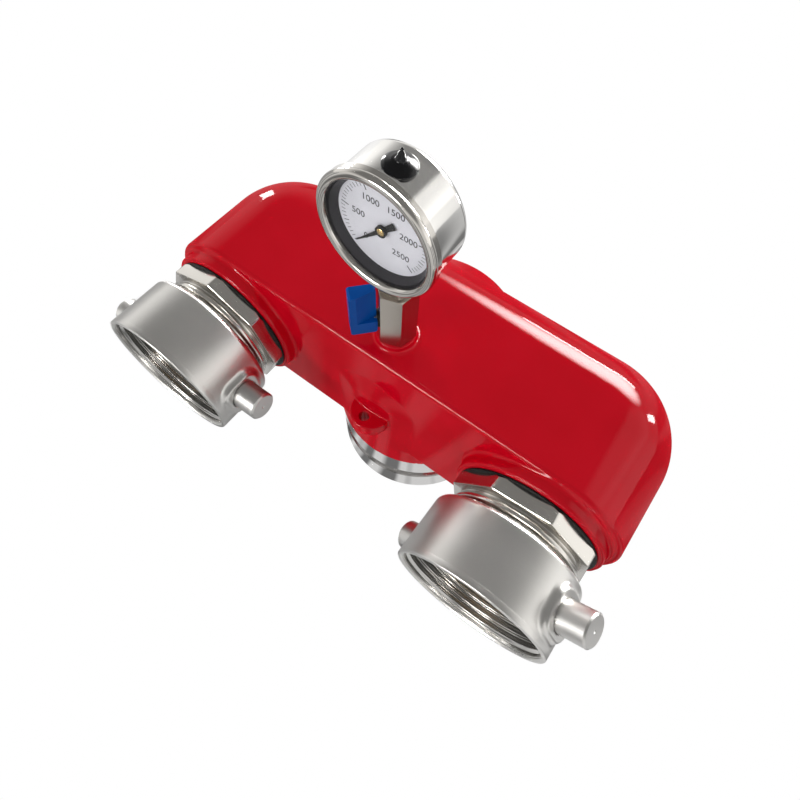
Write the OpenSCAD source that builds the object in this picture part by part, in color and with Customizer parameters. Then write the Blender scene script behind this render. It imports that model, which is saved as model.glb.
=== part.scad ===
// Two-way fire brigade inlet header: a hollow casting with two swivel inlet couplings,
// each with its own check valve, a grooved outlet and a pressure gauge on a small ball valve.
// Millimetres. Origin: centre of the outlet's end face. +Z runs up the outlet's axis, the inlets
// face -Y and the header lies along X.

/* [Header casting] */
// Height of the header, which is also the diameter of its round ends
header_h = 94; // [90:1:104]
// Distance between the two inlet axes
inlet_pitch = 215; // [200:1:250]
// Height of the inlet axes above the outlet's end face
inlet_axis_z = 113.6; // [108:0.2:120]
// Distance from the outlet's axis to the flat front wall
front_wall = 53; // [51:0.5:55]
// Distance from the outlet's axis to the back of the header
back_reach = 49.5; // [47:0.5:54]
// Distance from each inlet's axis to that end of the header
end_reach = 50; // [48:0.5:54]
// Radius of the header's back corners, seen from above
corner_r = 53; // [52:1:75]
// Thickness of the casting's walls
wall = 7; // [5:0.5:8]
// Radius along the edges of the front wall
edge_r = 3; // [1:0.5:5]

/* [Outlet chamber] */
// Outer radius of the round chamber over the outlet
chamber_r = 58; // [57.5:0.5:61]
// Height of the chamber's domed shoulder above the outlet's end face
chamber_top = 142; // [135:1:150]
// Radius of the chamber's shoulder
chamber_round = 30; // [15:1:35]
// Radius of the eye's round end, on the lug over the outlet
lug_r = 13; // [10:0.5:15]
// Thickness of the lug
lug_t = 8; // [5:0.5:10]
// Height of the lug's top face above the outlet's end face
lug_top_z = 108; // [102:1:112]
// Distance that the lug's round centre stands in front of the wall
lug_out = 4.5; // [2:0.5:6]
// Radius of the hole through the lug
lug_hole_r = 3.3; // [2:0.1:4.5]
// Clear gap between the lug's hole and the chamber
lug_hole_gap = 1.6; // [0.5:0.1:2.5]

/* [Outlet nipple] */
// Outer radius of the grooved pipe end
outlet_r = 57.15; // [56:0.05:57.4]
// Radius of the outlet's bore
outlet_bore_r = 50; // [46:0.5:51]
// Length of the nipple that shows below the casting
outlet_len = 47.6; // [42:0.2:54]
// Distance from the end face to the coupling groove
groove_from_end = 18.5; // [15.9:0.1:20]
// Width of the coupling groove
groove_w = 9.5; // [8:0.1:11]
// Depth of the coupling groove
groove_d = 2.1; // [1.5:0.1:2.5]
// Radius of the spigot that sits in the casting
spigot_r = 54; // [53:0.5:55]
// Length of the spigot that sits in the casting
spigot_len = 12; // [8:0.5:16]

/* [Inlet neck] */
// Radius of the round collar that each inlet is bolted up to
collar_r = 44.5; // [43.5:0.5:46]
// Distance that the collar stands out of the front wall
collar_out = 4; // [3:0.5:8]
// Radius of the hole that the adaptor is screwed into
neck_bore_r = 36; // [35.5:0.1:37]
// Thickness of the face gasket
gasket_t = 4.7; // [3:0.1:6]
// Outer radius of the face gasket
gasket_r = 42.3; // [41:0.1:43.4]

/* [Inlet adaptor] */
// Corner radius of the eight-sided nut
nut_corner_r = 42.4; // [41.5:0.1:43.5]
// Thickness of the eight-sided nut
nut_t = 8.3; // [7:0.1:10]
// Distance from the coupling thread's crests in to the turned neck
nose_step = 2.5; // [2.2:0.1:4]
// Depth of the ring groove in the neck
neck_groove = 1.1; // [0.5:0.1:1.5]
// Wall of the nose round the water way
nose_wall = 6; // [5:0.1:7]
// Length of the neck that shows between the nut and the swivel collar
nose_show = 8.5; // [6:0.1:11]
// Length of the nose inside the swivel collar
nose_in = 12.5; // [11:0.1:15]
// Width of the check valve's seat, from the water way's wall inwards
seat_w = 4.5; // [3.5:0.1:6]
// Thickness of the check valve's seat
seat_t = 4; // [3:0.5:5]
// Length of the screwed shank inside the casting
shank_len = 24; // [20:1:28]

/* [Swivel collar] */
// Thickness of the swivel collar's wall over the thread's crests
swivel_wall = 4.7; // [3.5:0.1:7]
// Length of the swivel collar
swivel_len = 37.7; // [36:0.1:42]
// Radius of the collar's rounded back edge
swivel_back_round = 3.4; // [1.5:0.1:4]
// Radius over the crests of the coupling's round thread
thread_r = 39; // [38.5:0.1:39.6]
// Radius of the round thread's form
thread_form_r = 1.3; // [0.8:0.1:1.4]
// Pitch of the round thread
thread_pitch = 5; // [4:0.1:6]
// Radius of the wire that holds the collar on the nose
wire_r = 1.9; // [1.5:0.1:2.1]
// Thickness of the coupling washer
washer_t = 4.2; // [3:0.1:5]

/* [Spanner pins] */
// Radius of each spanner pin
pin_r = 8.6; // [7:0.1:9]
// Distance that each pin stands out of the collar
pin_out = 16.8; // [13:0.1:20]
// Width of the raised pad round each pin
pad_w = 3.4; // [2.5:0.1:4.5]
// Distance that the pad stands out of the collar
pad_out = 2.7; // [2:0.1:4]
// Turn of the left coupling's pins from level
left_turn = 4; // [-90:1:90]
// Turn of the right coupling's pins from level
right_turn = 36; // [-90:1:90]
// Turn of the left adaptor's nut, as it was when tightened
left_nut_turn = 42; // [0:1:45]
// Turn of the right adaptor's nut, as it was when tightened
right_nut_turn = 32; // [0:1:45]

/* [Check valves] */
// Travel of each check valve's disc
check_travel = 12; // [8:1:13]
// Clear gap between the disc and the water way's wall
disc_gap = 2.1; // [1.7:0.1:3]
// Thickness of the disc
disc_t = 4; // [3:0.5:5]
// Thickness of the disc's rubber face
face_t = 2.4; // [1.5:0.1:3]
// Radius of the disc's stem
stem_r = 4; // [3:0.1:5]
// Wall of the guide's hub round the stem
hub_wall = 3.5; // [2.5:0.1:5]
// Length of the guide
guide_t = 6; // [4:0.5:8]
// Width of the guide's arms
arm_w = 4; // [3:0.5:6]
// Radius of the spring's wire
spring_wire_r = 0.9; // [0.6:0.1:1.1]
// Mean radius of the spring
spring_r = 11; // [9.5:0.5:14]
// Turns in the spring
spring_turns = 6; // [4:0.5:7]

/* [Gauge valve] */
// Distance from the outlet's axis to the valve, forwards
valve_y = 34; // [30:0.5:36]
// Height of the boss under the valve
boss_h = 4.4; // [3:0.1:7]
// Radius of the boss under the valve
boss_r = 11; // [10.5:0.1:13]
// Width across the flats of the valve's hexagon
valve_af = 18.8; // [18.4:0.1:20]
// Height of the valve's hexagon
valve_h = 37; // [35:0.5:40]
// Height of the ball's centre above the valve's seat
ball_z = 14; // [13.5:0.1:15]
// Radius of the ball
ball_r = 6.5; // [6:0.1:6.8]
// Radius of the ball's bore
ball_bore_r = 3.5; // [2.5:0.1:3.8]
// Radius of the quarter inch pipe thread at both ends of the valve
thread_quarter_r = 6.5; // [6:0.1:6.6]
// Turn of the valve about its own axis
valve_turn = -42; // [-60:1:0]
// Radius of the valve's stem
spindle_r = 2.3; // [2:0.1:2.4]

/* [Lever] */
// Size of the lever along the stem
lever_d = 13.5; // [12:0.5:16]
// Width of the lever
lever_w = 7.5; // [7:0.1:10]
// Reach of the lever above the stem
lever_up = 22.5; // [18:0.5:28]
// Reach of the lever below the stem
lever_down = 6.5; // [6:0.5:12]
// Height above the stem at which the lever's blade is cut back
ledge_up = 2; // [1:0.5:5]
// Depth of the ledge beside the valve
ledge_in = 3.6; // [1:0.1:5]
// Gap between the valve's flat and the lever
lever_gap = 1; // [0.6:0.1:1.5]

/* [Gauge] */
// Height of the gauge's centre above the outlet's end face
gauge_z = 247.2; // [243:0.2:252]
// Outer radius of the gauge's case
case_r = 26.9; // [26:0.1:28]
// Depth of the case and bezel
case_depth = 26.1; // [24:0.1:28]
// Distance from the back of the case to the socket's axis
socket_from_back = 8; // [7.5:0.1:9]
// Thickness of the case's sheet
case_wall = 1.3; // [0.8:0.1:1.6]
// Outer radius of the bezel
bezel_r = 28.7; // [28.3:0.1:30]
// Depth of the bezel
bezel_depth = 5.6; // [5:0.1:7]
// Width of the crimped band behind the bezel
band_w = 2; // [1:0.1:3]
// Radius of the opening in the bezel
bezel_open_r = 24.4; // [24:0.1:25]
// Thickness of the window
window_t = 1.8; // [1.2:0.1:2.2]
// Height of the spacer ring between the window and the dial
spacer_h = 3.6; // [3:0.1:4.5]
// Thickness of the dial
dial_t = 0.6; // [0.4:0.1:1]
// Radius of the rubber fill plug
plug_r = 6.1; // [5:0.1:6.5]
// Height of the fill plug's domed flange
plug_dome = 2.6; // [1.5:0.1:3.2]
// Distance from the back of the case to the fill plug
plug_at = 12.4; // [9:0.1:12.6]
// Turn of the fill plug from the top of the case
plug_turn = 5; // [0:1:60]
// Width across the flats of the gauge's square socket
socket_af = 14; // [12:0.5:15]
// Mean radius of the pressure tube's curve
tube_r = 17.5; // [16:0.5:18.5]
// Sweep of the pressure tube
tube_sweep = 235; // [200:1:250]
// Length of the pointer from its centre to its tip
pointer_len = 18.5; // [15:0.5:20]
// Length of the pointer's tail
tail_len = 8; // [5:0.5:10]
// Module of the movement's teeth
tooth_m = 0.5; // [0.4:0.05:0.5]
// Teeth on the pointer's pinion
pinion_teeth = 8; // [8:1:10]
// Ratio between the pinion and the toothed segment
gear_ratio = 6; // [5:1:6]

/* [Hidden] */
$fn = 64;

// Clearances
fit = 0.05;       // between a screwed or running shaft and its hole, on the radius
free = 0.3;       // between parts that pass each other without touching
seat_gap = 0.1;   // between a closed disc and its seat
over = 1;         // that a cutting body runs past what it cuts

// Header
header_r = header_h / 2;
inlet_x = inlet_pitch / 2;
header_top = inlet_axis_z + header_r;
end_x = inlet_x + end_reach - header_r;
corner_x = inlet_x + end_reach - corner_r;
corner_y = back_reach - corner_r;
inlet_face = front_wall + collar_out;

// Inlet stations, counted outwards from the collar's face
nut_from = gasket_t;
nut_to = nut_from + nut_t;
swivel_from = nut_to + nose_show;
nose_end = swivel_from + nose_in;
swivel_to = swivel_from + swivel_len;
nose_r = thread_r - nose_step;
land_r = nose_r + fit;
swivel_r = thread_r + swivel_wall;
adaptor_bore_r = nose_r - nose_wall;
washer_bore_r = adaptor_bore_r;
seat_r = adaptor_bore_r - seat_w;
disc_r = adaptor_bore_r - disc_gap;
pin_reach = swivel_r + pin_out;
pad_reach = swivel_r + pad_out;
pad_r = pin_r + pad_w;
wire_at = swivel_from + 0.6 * nose_in;
washer_from = nose_end + seat_gap;
washer_to = washer_from + washer_t;
seat_back = nose_end - seat_t - 3;
face_front = seat_back - seat_gap;
disc_front = face_front - face_t;
disc_back = disc_front - disc_t;
pin_at = swivel_from + swivel_len / 2;
pin_root = thread_r + thread_form_r + 1.2;
guide_bore_r = adaptor_bore_r + 1;
guide_front = -shank_len + 8 + guide_t;
guide_back = guide_front - guide_t;
clip_t = 1.5;
stem_back = guide_back - 8;

// Valve
valve_base = header_top + boss_h;
valve_flat = valve_af / 2;
valve_bore_r = 4;
cavity_r = ball_r + 0.7;
plug_hole_r = cavity_r + 0.8;
seat_h = 3;
seat_low = ball_z - ball_r - 0.5;
seat_high = ball_z + ball_r + 0.5;
stem_angle = valve_turn - 90;
lever_from = valve_flat + lever_gap;
lever_to = lever_from + lever_d;
tang_from = ball_r - 1.5;
tang_w = 2.4;
screw_r = 2.6;
screw_head_h = 1.6;

// Gauge stations, counted forwards from the back of the case
window_to = case_depth - 1.6;
bezel_from = case_depth - bezel_depth;
window_from = window_to - window_t;
spacer_from = window_from - spacer_h;
dial_from = spacer_from - dial_t;
case_front = window_from;
case_in_r = case_r - case_wall;
gauge_back_y = valve_y - socket_from_back;
socket_seat = valve_base + valve_h;
pinion_r = tooth_m * pinion_teeth / 2;
segment_r = pinion_r * gear_ratio;
movement_at = socket_from_back + 2.4;
plates_back = movement_at - 2.2;
plates_front = movement_at + 2.6;
wheel_at = movement_at - 0.2;
wheel_t = 1;
link_at = movement_at + 1.1;
pivot_at = segment_r + pinion_r + 0.1;
zero_angle = 135;
segment_rest = zero_angle / gear_ratio;
tail_pin = 4.2;
tube_from = -75;
tube_to = tube_from + tube_sweep;
plug_hole = plug_r - 1.7;
flange_out = 0.9;
block_r = 4.5;
block_up = tube_r - 3;
arbor_r = 0.8;
segment_angle = 205;
pivot_r = 1;
plate_t = 0.8;

// --- Frames -------------------------------------------------------------------------------

// Puts its children on an inlet: their +Z points out of the inlet, from the collar's face
module on_inlet(side) {
    translate([side * inlet_x, -inlet_face, inlet_axis_z])
        rotate([90, 0, 0])
            children();
}

// Puts its children on the valve: their +Z runs up from the boss
module on_valve() {
    translate([0, -valve_y, valve_base])
        rotate([0, 0, valve_turn])
            children();
}

// Puts its children on the valve's stem: their +Z runs out along it and their +X points up
module on_stem() {
    translate([0, -valve_y, valve_base + ball_z])
        rotate([0, 0, stem_angle])
            rotate([0, 90, 0])
                rotate([0, 0, 180])
                    children();
}

// Puts its children on the gauge: their +Z points forwards from the back of the case
module on_gauge() {
    translate([0, -gauge_back_y, gauge_z])
        rotate([90, 0, 0])
            children();
}

// Puts its children on the fill plug's seat: their +Z points out of the case
module on_plug() {
    translate([0, -gauge_back_y - plug_at, gauge_z])
        rotate([0, plug_turn, 0])
            translate([0, 0, case_r])
                children();
}

// Ring or tube with a plain section
module ring(outer, inner, from, to) {
    translate([0, 0, from])
        difference() {
            cylinder(h = to - from, r = outer);
            translate([0, 0, -over])
                cylinder(h = to - from + 2 * over, r = inner);
        }
}

// Disc or ring with both outer edges broken by a chamfer
module chamfered_ring(outer, inner, from, to, c) {
    rotate_extrude()
        polygon([
            [inner, from], [outer - c, from], [outer, from + c],
            [outer, to - c], [outer - c, to], [inner, to]
        ]);
}

// --- Header casting -----------------------------------------------------------------------

// Section of the header across its length, drawn as [y, z] about the inlet axes' height.
// t is how far the outline lies inside the outer skin.
module header_section(t) {
    r = header_r - t;
    front = -front_wall + t;
    back_centre = back_reach - header_r;
    translate([back_centre, 0])
        circle(r);
    translate([front + edge_r, -r])
        square([back_centre - front - edge_r, 2 * r]);
    translate([front, -r + edge_r])
        square([2 * edge_r, 2 * (r - edge_r)]);
    for (s = [-1, 1])
        translate([front + edge_r, s * (r - edge_r)])
            circle(edge_r);
}

// Lays a [y, z] section along X, from one x to another
module along_x(from, to) {
    translate([from, 0, inlet_axis_z])
        rotate([90, 0, 90])
            linear_extrude(to - from)
                children();
}

// One end of the header: the corner at the back, the round end and the stretch of flat front
module header_end(t) {
    r = header_r - t;
    front = front_wall - t;
    translate([corner_x, corner_y, inlet_axis_z])
        rotate_extrude(angle = 90)
            intersection() {
                union() {
                    translate([end_x - corner_x, 0])
                        circle(r);
                    translate([0, -r])
                        square([end_x - corner_x, 2 * r]);
                }
                translate([0, -header_h])
                    square([2 * corner_r, 2 * header_h]);
            }
    translate([end_x, corner_y, inlet_axis_z])
        rotate([90, 0, 0])
            rotate([0, 0, -90])
                rotate_extrude(angle = 180) {
                    square([r, front + corner_y - edge_r]);
                    square([r - edge_r, front + corner_y]);
                    translate([r - edge_r, front + corner_y - edge_r])
                        intersection() {
                            circle(edge_r);
                            square(edge_r);
                        }
                }
    along_x(corner_x, end_x)
        intersection() {
            header_section(t);
            translate([-2 * front_wall, -header_h])
                square([2 * front_wall + corner_y, 2 * header_h]);
        }
}

// The header's outer form at t = 0, or its hollow at t = wall
module header_form(t) {
    along_x(-corner_x, corner_x)
        header_section(t);
    header_end(t);
    mirror([1, 0, 0])
        header_end(t);
}

// The round chamber over the outlet, with a domed shoulder
module chamber_form(t, from) {
    r = chamber_r - t;
    top = chamber_top - t;
    round_r = chamber_round - t;
    rotate_extrude() {
        translate([0, from])
            square([r - round_r, top - from]);
        translate([0, from])
            square([r, top - round_r - from]);
        translate([r - round_r, top - round_r])
            intersection() {
                circle(round_r);
                square(round_r);
            }
    }
}

// Round collar at an inlet, with a rolled edge
module collar() {
    lip = 1.6;
    root = 12;
    rotate_extrude() {
        translate([0, -root])
            square([collar_r, root - lip]);
        translate([0, -root])
            square([collar_r - lip, root]);
        translate([collar_r - lip, -lip])
            circle(lip);
    }
}

// Boss under the gauge's valve, with a hollow curve at its foot
module valve_boss() {
    foot = 2.5;
    rim = 0.8;
    translate([0, -valve_y, header_top])
        rotate_extrude() {
            translate([0, -wall / 2])
                square([boss_r, boss_h + wall / 2 - rim]);
            translate([0, -wall / 2])
                square([boss_r - rim, boss_h + wall / 2]);
            translate([boss_r - rim, boss_h - rim])
                circle(rim);
            difference() {
                translate([0, -wall / 2])
                    square([boss_r + foot, foot + wall / 2]);
                translate([boss_r + foot, foot])
                    circle(foot);
            }
        }
}

// Eye on the front wall over the outlet, carried by a cone that runs back into the chamber
module lug() {
    translate([0, -front_wall - lug_out, lug_top_z - lug_t]) {
        cylinder(h = lug_t, r = lug_r);
        translate([-lug_r, 0, 0])
            cube([2 * lug_r, lug_out + wall / 2, lug_t]);
        translate([0, 0, lug_t / 2 - lug_r])
            cylinder(h = lug_r - lug_t / 2, r1 = lug_t / 2, r2 = lug_r);
    }
}

module header_casting() {
    drop = lug_r + lug_t;
    color("crimson")
        difference() {
            union() {
                header_form(0);
                chamber_form(0, outlet_len);
                valve_boss();
                lug();
                for (side = [-1, 1])
                    on_inlet(side)
                        collar();
            }
            header_form(wall);
            chamber_form(wall, outlet_len + spigot_len);
            translate([0, 0, outlet_len - over])
                cylinder(h = spigot_len + 2 * over, r = spigot_r + fit);
            for (side = [-1, 1])
                on_inlet(side)
                    translate([0, 0, -collar_out - 2 * wall])
                        cylinder(h = collar_out + 2 * wall + over, r = neck_bore_r);
            translate([0, -valve_y, header_top - 2 * wall])
                cylinder(h = boss_h + 2 * wall + over, r = thread_quarter_r + fit);
            translate([0, -chamber_r - lug_hole_gap - lug_hole_r, lug_top_z - drop])
                cylinder(h = drop + over, r = lug_hole_r);
        }
}

module outlet_nipple() {
    c = 1;
    color("silver")
        rotate_extrude()
            polygon([
                [outlet_bore_r, 0], [outlet_r, 0],
                [outlet_r, groove_from_end], [outlet_r - groove_d, groove_from_end],
                [outlet_r - groove_d, groove_from_end + groove_w], [outlet_r, groove_from_end + groove_w],
                [outlet_r, outlet_len], [spigot_r, outlet_len],
                [spigot_r, outlet_len + spigot_len - c], [spigot_r - c, outlet_len + spigot_len],
                [outlet_bore_r, outlet_len + spigot_len]
            ]);
}

// --- Inlets -------------------------------------------------------------------------------

module face_gasket(side) {
    color("black")
        on_inlet(side)
            chamfered_ring(gasket_r, neck_bore_r + free, 0, gasket_t, 0.5);
}

// Eight-sided nut with its front corners turned off, on a screwed shank and a turned nose
module adaptor(side, turn) {
    nut_flat_r = nut_corner_r * cos(180 / 8);
    turned = 3.2;
    shank_r = neck_bore_r - fit;
    relief_r = neck_bore_r - 1.5;
    step_r = nose_r + 1.2;
    groove_r = nose_r - neck_groove;
    color("gainsboro")
        on_inlet(side)
            difference() {
                union() {
                    intersection() {
                        translate([0, 0, nut_from])
                            rotate([0, 0, turn])
                                cylinder(h = nut_t, r = nut_corner_r, $fn = 8);
                        rotate_extrude()
                            polygon([
                                [0, nut_from], [nut_corner_r - 0.6, nut_from],
                                [nut_corner_r + over, nut_from + 1], [nut_corner_r + over, nut_to - turned],
                                [nut_flat_r - 1, nut_to], [0, nut_to]
                            ]);
                    }
                    rotate_extrude()
                        polygon([
                            [0, nut_to - over], [step_r, nut_to - over], [step_r, nut_to + 1.4],
                            [groove_r, nut_to + 1.4], [groove_r, nut_to + 3],
                            [nose_r, nut_to + 3.8], [nose_r, nose_end - 0.6],
                            [nose_r - 0.6, nose_end], [0, nose_end]
                        ]);
                    rotate_extrude()
                        polygon([
                            [0, -shank_len], [relief_r, -shank_len],
                            [shank_r, -shank_len + 1.5], [shank_r, -2.5],
                            [relief_r, -2], [relief_r, nut_from + over], [0, nut_from + over]
                        ]);
                }
                rotate_extrude()
                    polygon([
                        [0, -shank_len - over], [guide_bore_r, -shank_len - over],
                        [guide_bore_r, guide_front], [adaptor_bore_r, guide_front],
                        [adaptor_bore_r, seat_back], [seat_r, seat_back], [seat_r, seat_back + seat_t],
                        [seat_r + 3, nose_end + over], [0, nose_end + over]
                    ]);
                rotate_extrude()
                    translate([nose_r, wire_at])
                        circle(wire_r + fit);
                ring(guide_bore_r + 1, guide_bore_r - over, guide_back - clip_t - fit, guide_back);
            }
}

// Puts its children on both spanner pins: their +Z runs outwards from the coupling's axis
module on_pins(side, turn) {
    on_inlet(side)
        for (half = [0, 180])
            rotate([0, 0, turn + half])
                translate([0, 0, pin_at])
                    rotate([0, 90, 0])
                        children();
}

module swivel_collar(side, turn) {
    lip = 0.9;
    pad_edge = 0.8;
    well = 1.1;
    counter_r = land_r + 1;
    counter_len = 3;
    mouth = 1.6;
    color("lightgray")
        difference() {
            union() {
                on_inlet(side)
                    rotate_extrude() {
                        translate([0, swivel_from + swivel_back_round])
                            square([swivel_r, swivel_len - swivel_back_round - lip]);
                        translate([0, swivel_from])
                            square([swivel_r - swivel_back_round, swivel_len]);
                        translate([swivel_r - swivel_back_round, swivel_from + swivel_back_round])
                            circle(swivel_back_round);
                        polygon([
                            [0, swivel_to - 2 * lip], [swivel_r, swivel_to - 2 * lip],
                            [swivel_r, swivel_to - lip], [swivel_r - lip, swivel_to], [0, swivel_to]
                        ]);
                    }
                on_pins(side, turn) {
                    translate([0, 0, thread_r])
                        cylinder(h = pad_reach - thread_r - pad_edge, r = pad_r);
                    translate([0, 0, pad_reach - pad_edge])
                        cylinder(h = pad_edge, r1 = pad_r, r2 = pad_r - pad_edge);
                }
            }
            on_inlet(side) {
                rotate_extrude()
                    polygon([
                        [0, swivel_from - over], [counter_r, swivel_from - over],
                        [counter_r, swivel_from + counter_len], [land_r, swivel_from + counter_len],
                        [land_r, nose_end + seat_gap], [thread_r - 1, nose_end + seat_gap],
                        [thread_r - 1, washer_to + 0.5], [thread_r, washer_to + 1.5],
                        [thread_r, swivel_to - mouth], [thread_r + mouth, swivel_to],
                        [thread_r + mouth, swivel_to + over], [0, swivel_to + over]
                    ]);
                rotate_extrude()
                    translate([nose_r, wire_at])
                        circle(wire_r + free);
                for (turn_at = [washer_to + 4 : thread_pitch : swivel_to - 3])
                    rotate_extrude()
                        translate([thread_r, turn_at])
                            circle(thread_form_r);
            }
            on_pins(side, turn) {
                translate([0, 0, pin_root])
                    cylinder(h = pad_reach, r = pin_r + fit);
                translate([0, 0, pad_reach - well])
                    cylinder(h = over + well, r = pin_r + 1.9);
            }
        }
}

module spanner_pins(side, turn) {
    c = 0.9;
    dimple = 0.9;
    color("lightgray")
        on_pins(side, turn)
            difference() {
                rotate_extrude()
                    polygon([
                        [0, pin_root], [pin_r, pin_root], [pin_r, pin_reach - c],
                        [pin_r - c, pin_reach], [0, pin_reach]
                    ]);
                translate([0, 0, pin_reach - dimple])
                    cylinder(h = 2 * dimple, r1 = 0, r2 = 2 * dimple);
            }
}

module retaining_wire(side) {
    color("dimgray")
        on_inlet(side)
            rotate_extrude()
                translate([nose_r, wire_at])
                    circle(wire_r);
}

module coupling_washer(side) {
    color("black")
        on_inlet(side)
            chamfered_ring(thread_r - 1 - fit, washer_bore_r, washer_from, washer_to, 0.4);
}

module valve_guide(side) {
    hub_r = stem_r + hub_wall;
    color("burlywood")
        on_inlet(side) {
            ring(guide_bore_r - fit, guide_bore_r - 3.5, guide_back, guide_front);
            ring(hub_r, stem_r + fit, guide_back, guide_front);
            difference() {
                for (k = [0 : 2])
                    rotate([0, 0, 90 + 120 * k])
                        translate([0, -arm_w / 2, guide_back + 1])
                            cube([guide_bore_r - 2, arm_w, guide_t - 2]);
                translate([0, 0, guide_back - over])
                    cylinder(h = guide_t + 2 * over, r = hub_r - 1);
            }
        }
}

module guide_clip(side) {
    gap = 12;
    color("dimgray")
        on_inlet(side)
            difference() {
                ring(guide_bore_r + 0.9, guide_bore_r - 2, guide_back - clip_t, guide_back);
                translate([0, -guide_bore_r - 2, guide_back - clip_t - over])
                    translate([-gap / 2, 0, 0])
                        cube([gap, 6, clip_t + 2 * over]);
            }
}

module check_disc(side) {
    c = 0.6;
    color("burlywood")
        on_inlet(side)
            rotate_extrude()
                polygon([
                    [0, stem_back], [stem_r - c, stem_back], [stem_r, stem_back + c],
                    [stem_r, disc_back - 2.5], [stem_r + 2.5, disc_back],
                    [disc_r, disc_back], [disc_r, disc_front], [stem_r, disc_front],
                    [stem_r, seat_back + seat_t], [stem_r - c, seat_back + seat_t + c],
                    [0, seat_back + seat_t + c]
                ]);
}

module disc_facing(side) {
    color("black")
        on_inlet(side)
            chamfered_ring(disc_r - 0.3, stem_r + fit, disc_front, face_front, 0.3);
}

// Flanged nut that clamps the rubber face
module disc_nut(side) {
    flange_r = seat_r - 5;
    color("burlywood")
        on_inlet(side)
            difference() {
                union() {
                    translate([0, 0, face_front])
                        cylinder(h = 1.2, r = flange_r);
                    translate([0, 0, face_front + 1])
                        cylinder(h = seat_t - 1.4, r = 2 * stem_r, $fn = 6);
                }
                translate([0, 0, face_front - over])
                    cylinder(h = seat_t + 2 * over, r = stem_r + fit);
            }
}

// Coil spring between the guide and the disc, with a ring every 30 degrees
module spring(side) {
    steps_per_turn = 12;
    sides = 6;
    lie = spring_wire_r + 0.05;
    rise = disc_back - guide_front - 2 * lie;
    steps = spring_turns * steps_per_turn;
    points = [
        for (i = [0 : steps], k = [0 : sides - 1])
            let (
                a = 360 * i / steps_per_turn,
                b = 360 * k / sides,
                r = spring_r + spring_wire_r * cos(b)
            )
            [r * cos(a), r * sin(a), guide_front + lie + rise * i / steps + spring_wire_r * sin(b)]
    ];
    skins = [
        for (i = [0 : steps - 1], k = [0 : sides - 1])
            let (n = (k + 1) % sides)
            [sides * i + k, sides * (i + 1) + k, sides * (i + 1) + n, sides * i + n]
    ];
    first = [for (k = [0 : sides - 1]) k];
    last = [for (k = [sides - 1 : -1 : 0]) sides * steps + k];
    color("slategray")
        on_inlet(side)
            polyhedron(points, concat(skins, [first, last]));
}

// --- Gauge valve --------------------------------------------------------------------------

// Hexagonal body with both ends chamfered, bored for the ball and tapped at the top
module valve_body() {
    corner = valve_flat / cos(30);
    c = 1.1;
    color("silver")
        difference() {
            on_valve()
                intersection() {
                    cylinder(h = valve_h, r = corner, $fn = 6);
                    rotate_extrude()
                        polygon([
                            [0, 0], [corner - c, 0], [corner + c, c],
                            [corner + c, valve_h - c], [corner - c, valve_h], [0, valve_h]
                        ]);
                }
            on_valve() {
                translate([0, 0, -over])
                    cylinder(h = seat_low + over, r = plug_hole_r);
                cylinder(h = seat_high, r = cavity_r);
                cylinder(h = valve_h, r = valve_bore_r);
                translate([0, 0, seat_high + 1])
                    cylinder(h = valve_h, r = thread_quarter_r + fit);
            }
            on_stem()
                cylinder(h = valve_af, r = spindle_r + fit);
        }
}

// Screwed end piece: it holds the ball and seats in and screws into the casting
module valve_end_piece() {
    shank = wall + boss_h;
    color("silver")
        on_valve()
            difference() {
                union() {
                    translate([0, 0, fit])
                        cylinder(h = seat_low - fit, r = plug_hole_r - fit);
                    translate([0, 0, -shank])
                        cylinder(h = shank + over, r = thread_quarter_r);
                }
                translate([0, 0, -shank - over])
                    cylinder(h = shank + seat_low + 2 * over, r = valve_bore_r);
            }
}

// Plastic seat with a hollow that fits the ball
module ball_seat(from) {
    color("white")
        on_valve()
            difference() {
                ring(cavity_r - fit, ball_bore_r + 0.3, from, from + seat_h);
                translate([0, 0, ball_z])
                    sphere(ball_r + fit);
            }
}

module valve_ball() {
    color("silver")
        difference() {
            on_valve()
                translate([0, 0, ball_z])
                    difference() {
                        sphere(ball_r);
                        translate([0, 0, -ball_r - over])
                            cylinder(h = 2 * (ball_r + over), r = ball_bore_r);
                    }
            on_stem()
                translate([-ball_r, -tang_w / 2, tang_from])
                    cube([2 * ball_r, tang_w, ball_r]);
        }
}

module valve_stem() {
    flat_w = 1.6 * spindle_r;
    color("silver")
        on_stem() {
            translate([0, 0, cavity_r - 0.3])
                cylinder(h = lever_from + 1 - cavity_r + 0.3, r = spindle_r);
            translate([-spindle_r + 0.4, -tang_w / 2 + fit, tang_from + fit])
                cube([2 * spindle_r - 0.8, tang_w - 2 * fit, cavity_r - tang_from]);
            translate([-flat_w / 2, -flat_w / 2, lever_from])
                cube([flat_w, flat_w, lever_d - screw_head_h - 1]);
        }
}

module stem_packing() {
    color("black")
        on_stem()
            ring(spindle_r + 2.4, spindle_r + fit, valve_flat, lever_from - fit);
}

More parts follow.
